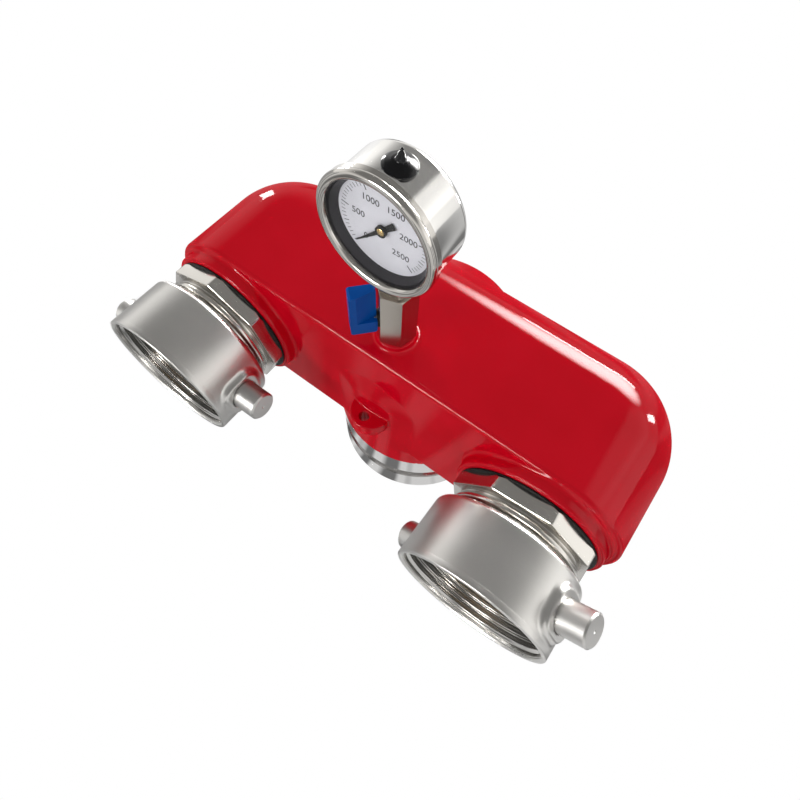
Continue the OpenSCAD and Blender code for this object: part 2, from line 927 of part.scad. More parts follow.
// Flat moulded lever on the stem. Above the stem the front of its blade is cut back at a slant
// towards the valve, which leaves a three-cornered ledge.
module valve_lever() {
    flat_w = 1.6 * spindle_r;
    bevel = 1;
    cut_to = lever_to - 3.5;
    front = -lever_w / 2;
    color("royalblue")
        on_stem()
            difference() {
                rotate([90, 0, 0])
                    translate([0, 0, front])
                        linear_extrude(lever_w)
                            polygon([
                                [-lever_down, lever_from + bevel], [-lever_down + bevel, lever_from],
                                [lever_up - bevel, lever_from], [lever_up, lever_from + bevel],
                                [lever_up, lever_to - bevel], [lever_up - bevel, lever_to],
                                [-lever_down + bevel, lever_to], [-lever_down, lever_to - bevel]
                            ]);
                rotate([0, 90, 0])
                    translate([0, 0, ledge_up])
                        linear_extrude(lever_up)
                            polygon([
                                [-cut_to, front - over], [-cut_to, front], [-lever_from, front + ledge_in],
                                [-lever_from + over, front + ledge_in], [-lever_from + over, front - over]
                            ]);
                translate([-flat_w / 2 - fit, -flat_w / 2 - fit, lever_from - over])
                    cube([flat_w + 2 * fit, flat_w + 2 * fit, lever_d]);
                translate([0, 0, lever_from - over])
                    cylinder(h = over + 1.1, r = spindle_r + fit);
                translate([0, 0, lever_to - screw_head_h - 1])
                    cylinder(h = lever_d, r = screw_r + free);
            }
}

module lever_screw() {
    color("silver")
        on_stem()
            difference() {
                translate([0, 0, lever_to - screw_head_h - 1])
                    cylinder(h = screw_head_h, r = screw_r);
                translate([-screw_r, -0.4, lever_to - 1 - screw_head_h / 2])
                    cube([2 * screw_r, 0.8, screw_head_h]);
            }
}

// --- Gauge --------------------------------------------------------------------------------

// Square socket with its pipe thread below and the tube's block inside the case
module gauge_socket() {
    thread = valve_h - seat_high - 2;
    square_corner = 0.64 * socket_af;
    saddle_h = 2.7;
    bore_r = 1.5;
    square_from = socket_seat + 0.2;
    square_h = gauge_z - case_r + saddle_h - square_from;
    color("goldenrod")
        difference() {
            translate([0, -valve_y, 0]) {
                translate([0, 0, socket_seat - thread])
                    cylinder(h = thread + over, r = thread_quarter_r);
                difference() {
                    intersection() {
                        translate([-socket_af / 2, -socket_af / 2, square_from])
                            cube([socket_af, socket_af, square_h]);
                        translate([0, 0, square_from])
                            cylinder(h = square_h, r = square_corner);
                    }
                    translate([0, valve_y - gauge_back_y + over, gauge_z])
                        rotate([90, 0, 0])
                            cylinder(h = case_depth, r = case_r);
                }
                translate([0, 0, square_from])
                    cylinder(h = gauge_z - block_up - square_from, r = block_r);
            }
            translate([0, -valve_y, socket_seat - thread - over])
                cylinder(h = gauge_z - tube_r - 2 - socket_seat + thread, r = bore_r);
        }
}

module gauge_case() {
    round_r = 3;
    inner_round = round_r - case_wall;
    color("silver")
        difference() {
            on_gauge()
                rotate_extrude()
                    difference() {
                        union() {
                            square([case_r - round_r, case_front]);
                            translate([0, round_r])
                                square([case_r, case_front - round_r]);
                            translate([case_r - round_r, round_r])
                                circle(round_r);
                            translate([0, bezel_from - band_w])
                                square([case_r + flange_out / 2, case_front - bezel_from + band_w]);
                            translate([0, bezel_from])
                                square([case_r + flange_out, case_front - bezel_from]);
                        }
                        translate([0, case_wall + inner_round])
                            square([case_in_r, case_front]);
                        translate([0, case_wall])
                            square([case_in_r - inner_round, case_front]);
                        translate([case_in_r - inner_round, case_wall + inner_round])
                            circle(inner_round);
                    }
            translate([0, -valve_y, gauge_z - case_r - over])
                cylinder(h = case_r, r = block_r + fit);
            on_plug()
                translate([0, 0, -case_r])
                    cylinder(h = case_r + over, r = plug_hole);
        }
}

// Rolled bezel with a round bead in front and a skirt that grips the case
module gauge_bezel() {
    bead_r = (bezel_r - bezel_open_r) / 2;
    step = 0.25;
    color("gainsboro")
        on_gauge()
            rotate_extrude()
                difference() {
                    union() {
                        translate([bezel_open_r + bead_r, case_depth - bead_r])
                            circle(bead_r);
                        translate([bezel_open_r + bead_r, bezel_from])
                            square([bead_r - step, bezel_depth - bead_r]);
                    }
                    translate([0, bezel_from - over])
                        square([case_r + flange_out + fit, window_to - bezel_from + over]);
                }
}

module gauge_window() {
    color("lightcyan", 0.4)
        on_gauge()
            translate([0, 0, window_from])
                cylinder(h = window_t - fit, r = case_r - 0.3);
}

// Dark ring whose inside leans in from the window down to the dial
module window_spacer() {
    color("darkslategray")
        on_gauge()
            rotate_extrude()
                polygon([
                    [bezel_open_r - 2.4, spacer_from], [case_in_r - fit, spacer_from],
                    [case_in_r - fit, window_from], [bezel_open_r - 0.4, window_from]
                ]);
}

module gauge_dial() {
    color("ghostwhite")
        on_gauge()
            ring(case_in_r - fit, arbor_r + free, dial_from, spacer_from);
}

// Black pointer with a tapered tip and a broad tail, at the zero of its scale
module gauge_pointer() {
    hub_r = 2.6;
    from = spacer_from + 0.5;
    t = 0.5;
    color("black")
        on_gauge()
            rotate([0, 0, -zero_angle])
                translate([0, 0, from])
                    difference() {
                        union() {
                            linear_extrude(t)
                                polygon([
                                    [-tail_len, -1.5], [-hub_r, -1.2], [0, -1.1], [pointer_len, -0.15],
                                    [pointer_len, 0.15], [0, 1.1], [-hub_r, 1.2], [-tail_len, 1.5]
                                ]);
                            cylinder(h = 1.4, r = hub_r);
                        }
                        translate([0, 0, -over])
                            cylinder(h = 1.4 + 2 * over, r = arbor_r + fit);
                    }
}

// Rubber plug with a domed flange that lies on the round case, a pip on top and a lip inside
module fill_plug() {
    rim = 0.6;
    pip_h = 5;
    lip = 0.9;
    sag = plug_r * plug_r / (2 * case_r);
    dome_r = (plug_r * plug_r + plug_dome * plug_dome) / (2 * plug_dome);
    color("black") {
        difference() {
            on_plug()
                rotate_extrude() {
                    translate([0, -sag])
                        square([plug_r, sag + rim]);
                    intersection() {
                        translate([0, rim + plug_dome - dome_r])
                            circle(dome_r);
                        translate([0, rim])
                            square([plug_r, plug_dome]);
                    }
                    translate([0, plug_dome])
                        polygon([[0, 0], [1.9, 0], [1.1, pip_h / 2], [0.4, pip_h], [0, pip_h]]);
                }
            on_gauge()
                cylinder(h = case_depth, r = case_r);
        }
        on_plug()
            rotate_extrude() {
                translate([0, -case_wall - 2 * lip])
                    square([plug_hole - fit, case_wall + 2 * lip + rim]);
                translate([0, -case_wall - 2 * lip])
                    square([plug_hole + 0.5, lip]);
            }
    }
}

// Curved pressure tube, soldered into the socket's block
module pressure_tube() {
    half_w = 3;
    half_t = 0.9;
    color("darkgoldenrod")
        on_gauge()
            translate([0, 0, socket_from_back - 1])
                rotate([0, 0, tube_from])
                    rotate_extrude(angle = tube_sweep)
                        translate([tube_r, 0]) {
                            translate([-half_t, -half_w + half_t])
                                square([2 * half_t, 2 * (half_w - half_t)]);
                            for (s = [-1, 1])
                                translate([0, s * (half_w - half_t)])
                                    circle(half_t);
                        }
}

// Plug that closes the tube's free end and carries the link
module tube_tip() {
    cap_w = 6.4;
    cap_t = 2.8;
    cap_len = 3;
    touch = 0.02;
    color("goldenrod")
        on_gauge()
            rotate([0, 0, tube_to])
                translate([tube_r, 0, socket_from_back - 1]) {
                    translate([-cap_t / 2, touch, -cap_w / 2])
                        cube([cap_t, cap_len, cap_w]);
                    translate([-cap_t / 2, touch, 0])
                        cube([cap_t, cap_len, link_at - socket_from_back + 1]);
                }
}

// Two plates on posts that carry the segment and the arbor
module movement_plates() {
    hub_r = 3.4;
    arm = 4;
    posts = [2.3, 7.3];
    post_r = 1.1;
    depth = plates_front + plate_t - plates_back;
    color("goldenrod")
        on_gauge()
            difference() {
                union() {
                    for (z = [plates_back, plates_front])
                        translate([0, 0, z])
                            linear_extrude(plate_t) {
                                circle(hub_r);
                                rotate([0, 0, segment_angle])
                                    translate([0, -arm / 2])
                                        square([pivot_at, arm]);
                                rotate([0, 0, segment_angle])
                                    translate([pivot_at, 0])
                                        circle(0.65 * arm);
                                translate([-hub_r, -block_up])
                                    square([2 * hub_r, block_up]);
                            }
                    for (up = posts)
                        translate([2 * post_r, up - block_up, plates_back])
                            cylinder(h = plates_front - plates_back, r = post_r);
                }
                translate([0, 0, plates_back - over])
                    cylinder(h = depth + 2 * over, r = arbor_r + fit);
                rotate([0, 0, segment_angle])
                    translate([pivot_at, 0, plates_back - over])
                        cylinder(h = depth + 2 * over, r = pivot_r + fit);
            }
}

// Outline of a spur wheel with straight-sided teeth, drawn over some of its teeth
module teeth(pitch_r, count, first, last) {
    tip = 0.36 * PI * tooth_m / 2;
    root = 0.8 * PI * tooth_m / 2;
    for (k = [first : last])
        rotate([0, 0, 360 * k / count])
            polygon([
                [pitch_r - 1.15 * tooth_m, -root / 2 - 0.08], [pitch_r + 0.8 * tooth_m, -tip / 2],
                [pitch_r + 0.8 * tooth_m, tip / 2], [pitch_r - 1.15 * tooth_m, root / 2 + 0.08]
            ]);
}

// Toothed segment on its pivot, with the tail that the link pulls
module toothed_segment() {
    count = pinion_teeth * gear_ratio;
    half_teeth = 4;
    root_r = segment_r - 1.1 * tooth_m;
    rim_in = root_r - 1.65;
    arm = 1.8;
    hub_r = 2.2;
    tail = tail_pin + 0.8;
    spread = 360 / count * (half_teeth + 0.4);
    color("gold")
        on_gauge()
            rotate([0, 0, segment_angle])
                translate([pivot_at, 0, 0])
                    rotate([0, 0, 180 - segment_rest]) {
                        translate([0, 0, wheel_at])
                            linear_extrude(wheel_t) {
                                teeth(segment_r, count, -half_teeth, half_teeth);
                                intersection() {
                                    difference() {
                                        circle(root_r);
                                        circle(rim_in);
                                    }
                                    polygon([
                                        [0, 0], 2 * segment_r * [cos(spread), -sin(spread)],
                                        2 * segment_r * [cos(spread), sin(spread)]
                                    ]);
                                }
                                circle(hub_r);
                                translate([-tail, -arm / 2])
                                    square([tail + rim_in + 0.6, arm]);
                            }
                        translate([0, 0, plates_back + 0.1])
                            cylinder(h = plates_front + plate_t - plates_back - 0.1, r = pivot_r);
                    }
}

// Link from the tube's tip to the segment's tail, held by a pin at each end
module movement_link() {
    width = 1.4;
    eye_r = 1.1;
    tail_angle = segment_angle - segment_rest;
    tail = pivot_at * [cos(segment_angle), sin(segment_angle)]
        + tail_pin * [cos(tail_angle), sin(tail_angle)];
    tip_angle = tube_to + 5;
    tip = tube_r * [cos(tip_angle), sin(tip_angle)];
    reach = norm(tip - tail);
    lean = atan2(tip[1] - tail[1], tip[0] - tail[0]);
    color("gold")
        on_gauge()
            translate([tail[0], tail[1], link_at])
                rotate([0, 0, lean])
                    linear_extrude(0.6) {
                        translate([0, -width / 2])
                            square([reach, width]);
                        circle(eye_r);
                        translate([reach, 0])
                            circle(eye_r);
                    }
}

// Arbor with the pinion that the segment drives
module pointer_arbor() {
    pinion_over = 1;
    color("gold")
        on_gauge()
            rotate([0, 0, -zero_angle]) {
                translate([0, 0, plates_back])
                    cylinder(h = spacer_from + 1.9 - plates_back, r = arbor_r);
                translate([0, 0, wheel_at - pinion_over])
                    linear_extrude(wheel_t + 2 * pinion_over) {
                        circle(pinion_r - 1.1 * tooth_m);
                        teeth(pinion_r, pinion_teeth, 0, pinion_teeth - 1);
                    }
            }
}

// --- Pieces -------------------------------------------------------------------------------

header_casting();
outlet_nipple();

face_gasket(-1);  // left_face_gasket
adaptor(-1, left_nut_turn);  // left_adaptor
swivel_collar(-1, left_turn);  // left_swivel_collar
spanner_pins(-1, left_turn);  // left_spanner_pins
retaining_wire(-1);  // left_retaining_wire
coupling_washer(-1);  // left_coupling_washer
valve_guide(-1);  // left_valve_guide
guide_clip(-1);  // left_guide_clip
check_disc(-1);  // left_check_disc
disc_facing(-1);  // left_disc_facing
disc_nut(-1);  // left_disc_nut
spring(-1);  // left_spring

face_gasket(1);  // right_face_gasket
adaptor(1, right_nut_turn);  // right_adaptor
swivel_collar(1, right_turn);  // right_swivel_collar
spanner_pins(1, right_turn);  // right_spanner_pins
retaining_wire(1);  // right_retaining_wire
coupling_washer(1);  // right_coupling_washer
valve_guide(1);  // right_valve_guide
guide_clip(1);  // right_guide_clip
check_disc(1);  // right_check_disc
disc_facing(1);  // right_disc_facing
disc_nut(1);  // right_disc_nut
spring(1);  // right_spring

valve_body();
valve_end_piece();
ball_seat(seat_low);  // lower_ball_seat
ball_seat(seat_high - seat_h);  // upper_ball_seat
valve_ball();
valve_stem();
stem_packing();
valve_lever();
lever_screw();

gauge_socket();
gauge_case();
gauge_bezel();
gauge_window();
window_spacer();
gauge_dial();
gauge_pointer();
fill_plug();
pressure_tube();
tube_tip();
movement_plates();
movement_link();
toothed_segment();
pointer_arbor();
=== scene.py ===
import math

import bpy
import numpy as np
from mathutils import Matrix, Vector


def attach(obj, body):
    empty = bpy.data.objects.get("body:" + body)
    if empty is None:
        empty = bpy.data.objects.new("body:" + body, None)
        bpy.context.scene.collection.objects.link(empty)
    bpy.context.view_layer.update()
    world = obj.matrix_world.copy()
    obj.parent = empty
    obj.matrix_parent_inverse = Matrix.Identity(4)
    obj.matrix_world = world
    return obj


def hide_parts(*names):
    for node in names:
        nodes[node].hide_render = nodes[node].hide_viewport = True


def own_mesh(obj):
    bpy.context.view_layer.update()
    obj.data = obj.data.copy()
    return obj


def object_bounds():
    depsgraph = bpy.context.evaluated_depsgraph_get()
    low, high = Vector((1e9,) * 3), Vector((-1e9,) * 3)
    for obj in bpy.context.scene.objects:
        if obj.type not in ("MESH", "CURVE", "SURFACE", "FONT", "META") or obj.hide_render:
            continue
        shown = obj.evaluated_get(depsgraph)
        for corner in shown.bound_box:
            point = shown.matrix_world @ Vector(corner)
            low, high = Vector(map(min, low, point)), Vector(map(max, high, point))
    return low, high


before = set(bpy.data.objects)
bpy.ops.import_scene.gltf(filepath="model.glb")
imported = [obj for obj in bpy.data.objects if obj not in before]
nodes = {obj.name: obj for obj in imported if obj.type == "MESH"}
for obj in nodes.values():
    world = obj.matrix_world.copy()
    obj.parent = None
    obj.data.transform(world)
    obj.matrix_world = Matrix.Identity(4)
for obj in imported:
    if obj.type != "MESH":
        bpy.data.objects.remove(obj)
cad_box = [[float(c) for c in corner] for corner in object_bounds()]

MM = 0.001
SIDES = ((-1, "left"), (1, "right"))

# --- Sizes of the casting, in millimetres ----------------------------------------------------
# Header: centres of the inlets with the plane their stations start from, radius of its section,
# distances of front, back and ends, radius of its back corners, wall, round of its front edge.
INLET_X, INLET_Z, INLET_Y = 107.5, 113.6, -57.0
HEADER_R, FRONT, BACK, END, CORNER = 47.0, 53.0, 49.5, 50.0, 53.0
WALL, FRONT_EDGE = 7.0, 3.0
# Chamber over the outlet, and the outlet nipple with the part of it that is inside the casting.
CHAMBER_R, CHAMBER_TOP, CHAMBER_ROUND = 58.0, 142.5, 27.0
OUTLET_LEN, SPIGOT_R, SPIGOT_LEN = 47.6, 54.05, 12.0
SPIGOT_TOP = OUTLET_LEN + SPIGOT_LEN
# Collar round each inlet: radius, front and back distances, and its bore.
RIM_R, RIM_FRONT, RIM_BACK = 44.5, 60.5, 40.0
RIM_BORE_R, RIM_BORE_BACK = 36.0, 30.0
# Boss under the gauge's valve, and its bore.
VALVE_Y, VALVE_BASE = -34.0, 165.0
BOSS_R, BOSS_FROM, BOSS_BORE_R, BOSS_BORE_FROM = 11.0, 150.0, 6.55, 140.0
# Eye on the front: how far its centre is out, half its width, how far it runs back, its height,
# the cone that carries it, and its hole.
EYE_OUT, EYE_HALF, EYE_RUN = 4.5, 12.5, 12.0
EYE_Z, EYE_HALF_T = 104.0, 4.0
CONE_FROM, CONE_TO, CONE_R, CONE_SLANT = 91.0, 100.0, 4.0, 0.7071
HOLE_X, HOLE_Y, HOLE_R, HOLE_FROM = -0.8, -62.9, 3.1, 80.0
# Gauge
GAUGE_Y, GAUGE_Z = -26.0, 247.2

FACING_OUT = Matrix.Rotation(math.radians(90), 4, "X")
M_GAUGE = Matrix.Translation((0, GAUGE_Y, GAUGE_Z)) @ FACING_OUT


def m_inlet(side):
    """An inlet's own frame: Z points out of the mouth."""
    return Matrix.Translation((side * INLET_X, INLET_Y, INLET_Z)) @ FACING_OUT


# --- Shader helpers --------------------------------------------------------------------------
def material(name, base, rough, metal=0.0, **more):
    """A node material. more may hold sockets of the Principled shader by name."""
    mat = bpy.data.materials.new(name)
    mat.use_nodes = True
    tree = mat.node_tree
    shader = tree.nodes["Principled BSDF"]
    shader.inputs["Base Color"].default_value = (*base, 1.0)
    shader.inputs["Roughness"].default_value = rough
    shader.inputs["Metallic"].default_value = metal
    for key, value in more.items():
        shader.inputs[key.replace("_", " ")].default_value = value
    return mat, tree, shader


def add(tree, kind, **values):
    """A new node, with values for its properties or its sockets by name."""
    node = tree.nodes.new(kind)
    for key, value in values.items():
        if hasattr(node, key):
            setattr(node, key, value)
        else:
            node.inputs[key.replace("_", " ")].default_value = value
    return node


def noise(tree, scale, detail=3.0):
    coord = tree.nodes.new("ShaderNodeTexCoord")
    tex = add(tree, "ShaderNodeTexNoise", Scale=scale, Detail=detail)
    tree.links.new(coord.outputs["Object"], tex.inputs["Vector"])
    return tex.outputs["Fac"]


def ramp(tree, value, low, high, from_low=0.0, from_high=1.0):
    """A value between from_low and from_high, mapped to low and high."""
    node = add(tree, "ShaderNodeMapRange", From_Min=from_low, From_Max=from_high,
               To_Min=low, To_Max=high)
    tree.links.new(value, node.inputs["Value"])
    return node.outputs["Result"]


def tint(tree, value, first, second):
    """A colour: first where value is 0, second where it is 1."""
    node = tree.nodes.new("ShaderNodeMix")
    node.data_type = "RGBA"
    node.inputs[6].default_value = (*first, 1.0)
    node.inputs[7].default_value = (*second, 1.0)
    tree.links.new(value, node.inputs[0])
    return node.outputs[2]


def choose(tree, switch, off, on):
    """A number: the socket off where switch is 0, the constant on where it is 1."""
    node = tree.nodes.new("ShaderNodeMix")
    tree.links.new(switch, node.inputs[0])
    tree.links.new(off, node.inputs[2])
    node.inputs[3].default_value = on
    return node.outputs[0]


def maths(tree, operation, first, second, use_clamp=False):
    """A Math node on a socket and a second socket or constant."""
    node = add(tree, "ShaderNodeMath", operation=operation, use_clamp=use_clamp)
    tree.links.new(first, node.inputs[0])
    if isinstance(second, float):
        node.inputs[1].default_value = second
    else:
        tree.links.new(second, node.inputs[1])
    return node.outputs[0]


def unit(tree, vector):
    node = add(tree, "ShaderNodeVectorMath", operation="NORMALIZE")
    tree.links.new(vector, node.inputs[0])
    return node.outputs[0]


def bump(tree, shader, value, strength, distance):
    node = add(tree, "ShaderNodeBump", Strength=strength, Distance=distance)
    tree.links.new(value, node.inputs["Height"])
    tree.links.new(node.outputs["Normal"], shader.inputs["Normal"])


def layered(tree, share, under, over):
    """The material's surface: over lies on under, by share."""
    node = tree.nodes.new("ShaderNodeMixShader")
    tree.links.new(share, node.inputs[0])
    tree.links.new(under.outputs[0], node.inputs[1])
    tree.links.new(over.outputs[0], node.inputs[2])
    tree.links.new(node.outputs[0], tree.nodes["Material Output"].inputs["Surface"])


def uneven_colour(tree, shader, value, first, second, low=0.35, high=0.65):
    """Base colour that wanders between two, where value goes from low to high."""
    tree.links.new(tint(tree, ramp(tree, value, 0, 1, low, high), first, second),
                   shader.inputs["Base Color"])


def uneven_rough(tree, shader, value, low, high):
    tree.links.new(ramp(tree, value, low, high, 0.3, 0.7), shader.inputs["Roughness"])


def darker(colour, share):
    return tuple(c * share for c in colour)


# --- Materials -------------------------------------------------------------------------------
def red_paint():
    """Gloss paint: a saturated base under a clear layer that mirrors little until grazing."""
    mirrored_facing, mirrored_grazing, steepness = 0.022, 0.16, 4.0
    mat, tree, shader = material("red_gloss_paint", (0.58, 0.002, 0.012), 0.5,
                                 Specular_IOR_Level=0.0)
    uneven_colour(tree, shader, noise(tree, 22.0, 2.0),
                  (0.56, 0.001, 0.010), (0.62, 0.002, 0.014), 0.3, 0.7)
    gloss = add(tree, "ShaderNodeBsdfGlossy", Roughness=0.06)
    bump(tree, gloss, noise(tree, 90.0, 2.0), 0.08, 0.0006)
    facing = add(tree, "ShaderNodeLayerWeight", Blend=0.5)
    steep = maths(tree, "POWER", facing.outputs["Facing"], steepness)
    layered(tree, ramp(tree, steep, mirrored_facing, mirrored_grazing), shader, gloss)
    return mat


def turned(name, base, rough, axis, stretch):
    """Lathe-turned metal: reflections are drawn out along the axis by fine marks round it."""
    mat, tree, shader = material(name, base, rough, 1.0, Anisotropic=stretch)
    round_axis = add(tree, "ShaderNodeTangent", direction_type="RADIAL", axis=axis)
    tree.links.new(round_axis.outputs[0], shader.inputs["Tangent"])
    broad = noise(tree, 30.0)
    uneven_colour(tree, shader, broad, darker(base, 0.95), base)
    uneven_rough(tree, shader, broad, rough * 0.9, rough * 1.1)
    return mat


def plain_metal(name, base, rough):
    mat, tree, shader = material(name, base, rough, 1.0)
    broad = noise(tree, 25.0, 2.0)
    uneven_rough(tree, shader, broad, rough * 0.85, rough * 1.2)
    uneven_colour(tree, shader, broad, darker(base, 0.96), base)
    return mat


def moulded(name, base, rough, grain=0.08, coat=0.0, specular=0.2):
    """Rubber, plastic, enamel or ink, with a fine grain."""
    mat, tree, shader = material(name, base, rough, Coat_Weight=coat, Specular_IOR_Level=specular)
    fine = noise(tree, 400.0)
    uneven_colour(tree, shader, noise(tree, 60.0), darker(base, 0.9), base)
    uneven_rough(tree, shader, fine, rough * 0.85, min(1.0, rough * 1.2))
    bump(tree, shader, fine, grain, 0.0002)
    return mat


RED = red_paint()
STEEL_OUTLET = plain_metal("turned_steel_outlet", (0.76, 0.75, 0.74), 0.12)
STEEL_INLET = turned("turned_steel_inlet", (0.63, 0.62, 0.60), 0.30, "Y", 0.5)
STEEL_MOUTH = plain_metal("bored_steel", (0.60, 0.59, 0.57), 0.14)
STEEL_PIN = plain_metal("turned_steel_pin", (0.58, 0.57, 0.555), 0.34)
BEZEL = plain_metal("bezel_steel", (0.56, 0.54, 0.51), 0.12)
NICKEL = plain_metal("nickel_plate", (0.50, 0.46, 0.41), 0.22)
STEEL_NUT = plain_metal("satin_steel_nut", (0.60, 0.58, 0.545), 0.20)
POLISHED = plain_metal("polished_steel", (0.78, 0.77, 0.75), 0.10)
SPRING = plain_metal("spring_wire", (0.35, 0.35, 0.36), 0.3)
BRASS = plain_metal("machined_brass", (0.70, 0.50, 0.22), 0.25)
BRONZE = plain_metal("cast_bronze", (0.30, 0.20, 0.11), 0.4)
RUBBER = moulded("black_rubber", (0.006, 0.006, 0.006), 0.5)
PLUG_RUBBER = moulded("plug_rubber", (0.002, 0.002, 0.003), 0.22, grain=0.01, coat=0.3)
SEAT = moulded("seat_plastic", (0.80, 0.79, 0.76), 0.5)
BLUE = moulded("blue_plastic", (0.0004, 0.075, 0.36), 0.34, grain=0.02, specular=0.08)
DIAL = moulded("dial_enamel", (0.86, 0.86, 0.93), 0.5, grain=0.004)
SPACER = moulded("spacer_ring", (0.012, 0.010, 0.016), 0.4)
BLACK = moulded("black_enamel", (0.003, 0.003, 0.0035), 0.4, grain=0.02)
INK = moulded("dial_ink", (0.02, 0.02, 0.03), 0.6, grain=0.004)
GLASS = material("window_glass", (1.0, 1.0, 1.0), 0.02, Alpha=0.02, Specular_IOR_Level=0.15)[0]


def dress(mat, *names):
    for n in names:
        mesh = nodes[n].data
        mesh.materials.clear()
        mesh.materials.append(mat)


for side, word in SIDES:
    dress(STEEL_INLET, word + "_swivel_collar")
    dress(STEEL_PIN, word + "_spanner_pins")
    dress(STEEL_NUT, word + "_adaptor")
    dress(RUBBER, word + "_face_gasket", word + "_coupling_washer", word + "_disc_facing")
    dress(SPRING, word + "_retaining_wire", word + "_guide_clip", word + "_spring")
    dress(BRONZE, word + "_valve_guide", word + "_check_disc", word + "_disc_nut")
dress(RED, "header_casting")
dress(STEEL_OUTLET, "outlet_nipple")
dress(POLISHED, "valve_ball", "gauge_case")
dress(BEZEL, "gauge_bezel")
dress(NICKEL, "valve_body", "gauge_socket")
dress(STEEL_NUT, "valve_end_piece", "valve_stem", "lever_screw")
dress(SEAT, "lower_ball_seat", "upper_ball_seat")
dress(RUBBER, "stem_packing")
dress(PLUG_RUBBER, "fill_plug")
dress(BLUE, "valve_lever")
dress(BRASS, "pressure_tube", "tube_tip", "movement_plates", "movement_link", "toothed_segment",
      "pointer_arbor")
dress(GLASS, "gauge_window")
dress(SPACER, "window_spacer")
dress(DIAL, "gauge_dial")
dress(BLACK, "gauge_pointer")


# --- Mesh helpers ----------------------------------------------------------------------------
def piece(name, verts, faces, mat, body, angle=35.0):
    """A smooth-shaded mesh on a body. Edges steeper than angle are sharp, or none if it is 0."""
    mesh = bpy.data.meshes.new(name)
    mesh.from_pydata([tuple(v) for v in verts], [], [tuple(f) for f in faces])
    mesh.update()
    obj = bpy.data.objects.new(name, mesh)
    bpy.context.scene.collection.objects.link(obj)
    mesh.materials.append(mat)
    mesh.shade_smooth()
    if angle:
        mesh.set_sharp_from_angle(angle=math.radians(angle))
    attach(obj, body)
    return obj


def in_metres(matrix, points):
    m = np.array(matrix)
    p = np.asarray(points, float)
    return (p @ m[:3, :3].T + m[:3, 3]) * MM


def rounded(points, arc=5):
    """Closed outline from (r, s, fillet) corners, with each corner turned into an arc."""
    out = []
    for i, (r, s, fillet) in enumerate(points):
        p = np.array([r, s], float)
        if fillet <= 0:
            out.append(p)
            continue
        a = np.array(points[i - 1][:2], float) - p
        b = np.array(points[(i + 1) % len(points)][:2], float) - p
        la, lb = np.linalg.norm(a), np.linalg.norm(b)
        a, b = a / la, b / lb
        half = math.acos(max(-1.0, min(1.0, float(a @ b)))) / 2
        run = min(fillet / math.tan(half), 0.49 * la, 0.49 * lb)
        radius = run * math.tan(half)
        centre = p + (a + b) / np.linalg.norm(a + b) * radius / math.sin(half)
        v0, v1 = p + a * run - centre, p + b * run - centre
        sweep = math.atan2(v0[0] * v1[1] - v0[1] * v1[0], float(v0 @ v1))
        for k in range(arc + 1):
            t = sweep * k / arc
            out.append(centre + np.array([v0[0] * math.cos(t) - v0[1] * math.sin(t),
                                          v0[0] * math.sin(t) + v0[1] * math.cos(t)]))
    return out


def lathe(name, corners, matrix, mat, body, steps=160, arc=5, angle=35.0):
    """Revolved closed outline. corners is a list, or a function that gives one for an angle."""
    verts, faces = [], []
    for i in range(steps):
        turn = 2 * math.pi * i / steps
        outline = rounded(corners(turn) if callable(corners) else corners, arc)
        c, s = math.cos(turn), math.sin(turn)
        verts += [(p[0] * c, p[0] * s, p[1]) for p in outline]
    n = len(outline)
    for i in range(steps):
        j = (i + 1) % steps
        for k in range(n):
            m = (k + 1) % n
            faces.append((i * n + k, i * n + m, j * n + m, j * n + k))
    area = sum(p[0] * q[1] - q[0] * p[1] for p, q in zip(outline, outline[1:] + outline[:1]))
    if area > 0:
        faces = [f[::-1] for f in faces]
    return piece(name, in_metres(matrix, verts), faces, mat, body, angle)


# --- Surfaces of smooth distance fields ------------------------------------------------------
# The last number that both() and either() are given is the round of that edge or inner corner.
def both(a, b, r):
    """Intersection whose outer edge is rounded to radius r."""
    return (np.minimum(np.maximum(a, b), -r)
            + np.hypot(np.maximum(a + r, 0), np.maximum(b + r, 0)))


def either(a, b, r):
    """Union with a fillet of radius r in its corner."""
    return (np.maximum(np.minimum(a, b), r)
            - np.hypot(np.maximum(r - a, 0), np.maximum(r - b, 0)))


def box(a, b):
    """Distance to the corner region where a and b are both below 0."""
    return np.hypot(np.maximum(a, 0), np.maximum(b, 0)) + np.minimum(np.maximum(a, b), 0)


def lines(low, high, coarse, fine, *spans):
    """Grid lines from low to high, closer together inside each (from, to) span."""
    at = [low]
    while at[-1] < high:
        near = any(a - coarse < at[-1] < b for a, b in spans)
        at.append(at[-1] + (fine if near else coarse))
    return np.array(at)


def gradient(field, p, e=0.02):
    out = np.empty_like(p)
    for k in range(3):
        step = np.zeros(3)
        step[k] = e
        out[:, k] = (field((p + step).T) - field((p - step).T)) / (2 * e)
    return out


def crossings(f, cells):
    """Mean of the points where the edges of each cell cross zero, in the cell's own units."""
    ci, cj, ck = cells
    total, hits = np.zeros((len(ci), 3)), np.zeros(len(ci))
    for axis in range(3):
        for a in (0, 1):
            for b in (0, 1):
                o = [0, 0, 0]
                o[(axis + 1) % 3], o[(axis + 2) % 3] = a, b
                e = list(o)
                e[axis] = 1
                f0 = f[ci + o[0], cj + o[1], ck + o[2]]
                f1 = f[ci + e[0], cj + e[1], ck + e[2]]
                cross = (f0 < 0) != (f1 < 0)
                pos = np.zeros((len(ci), 3)) + o
                pos[:, axis] = np.where(cross, f0 / np.where(cross, f0 - f1, 1), 0)
                total += np.where(cross[:, None], pos, 0)
                hits += cross
    return total / hits[:, None]


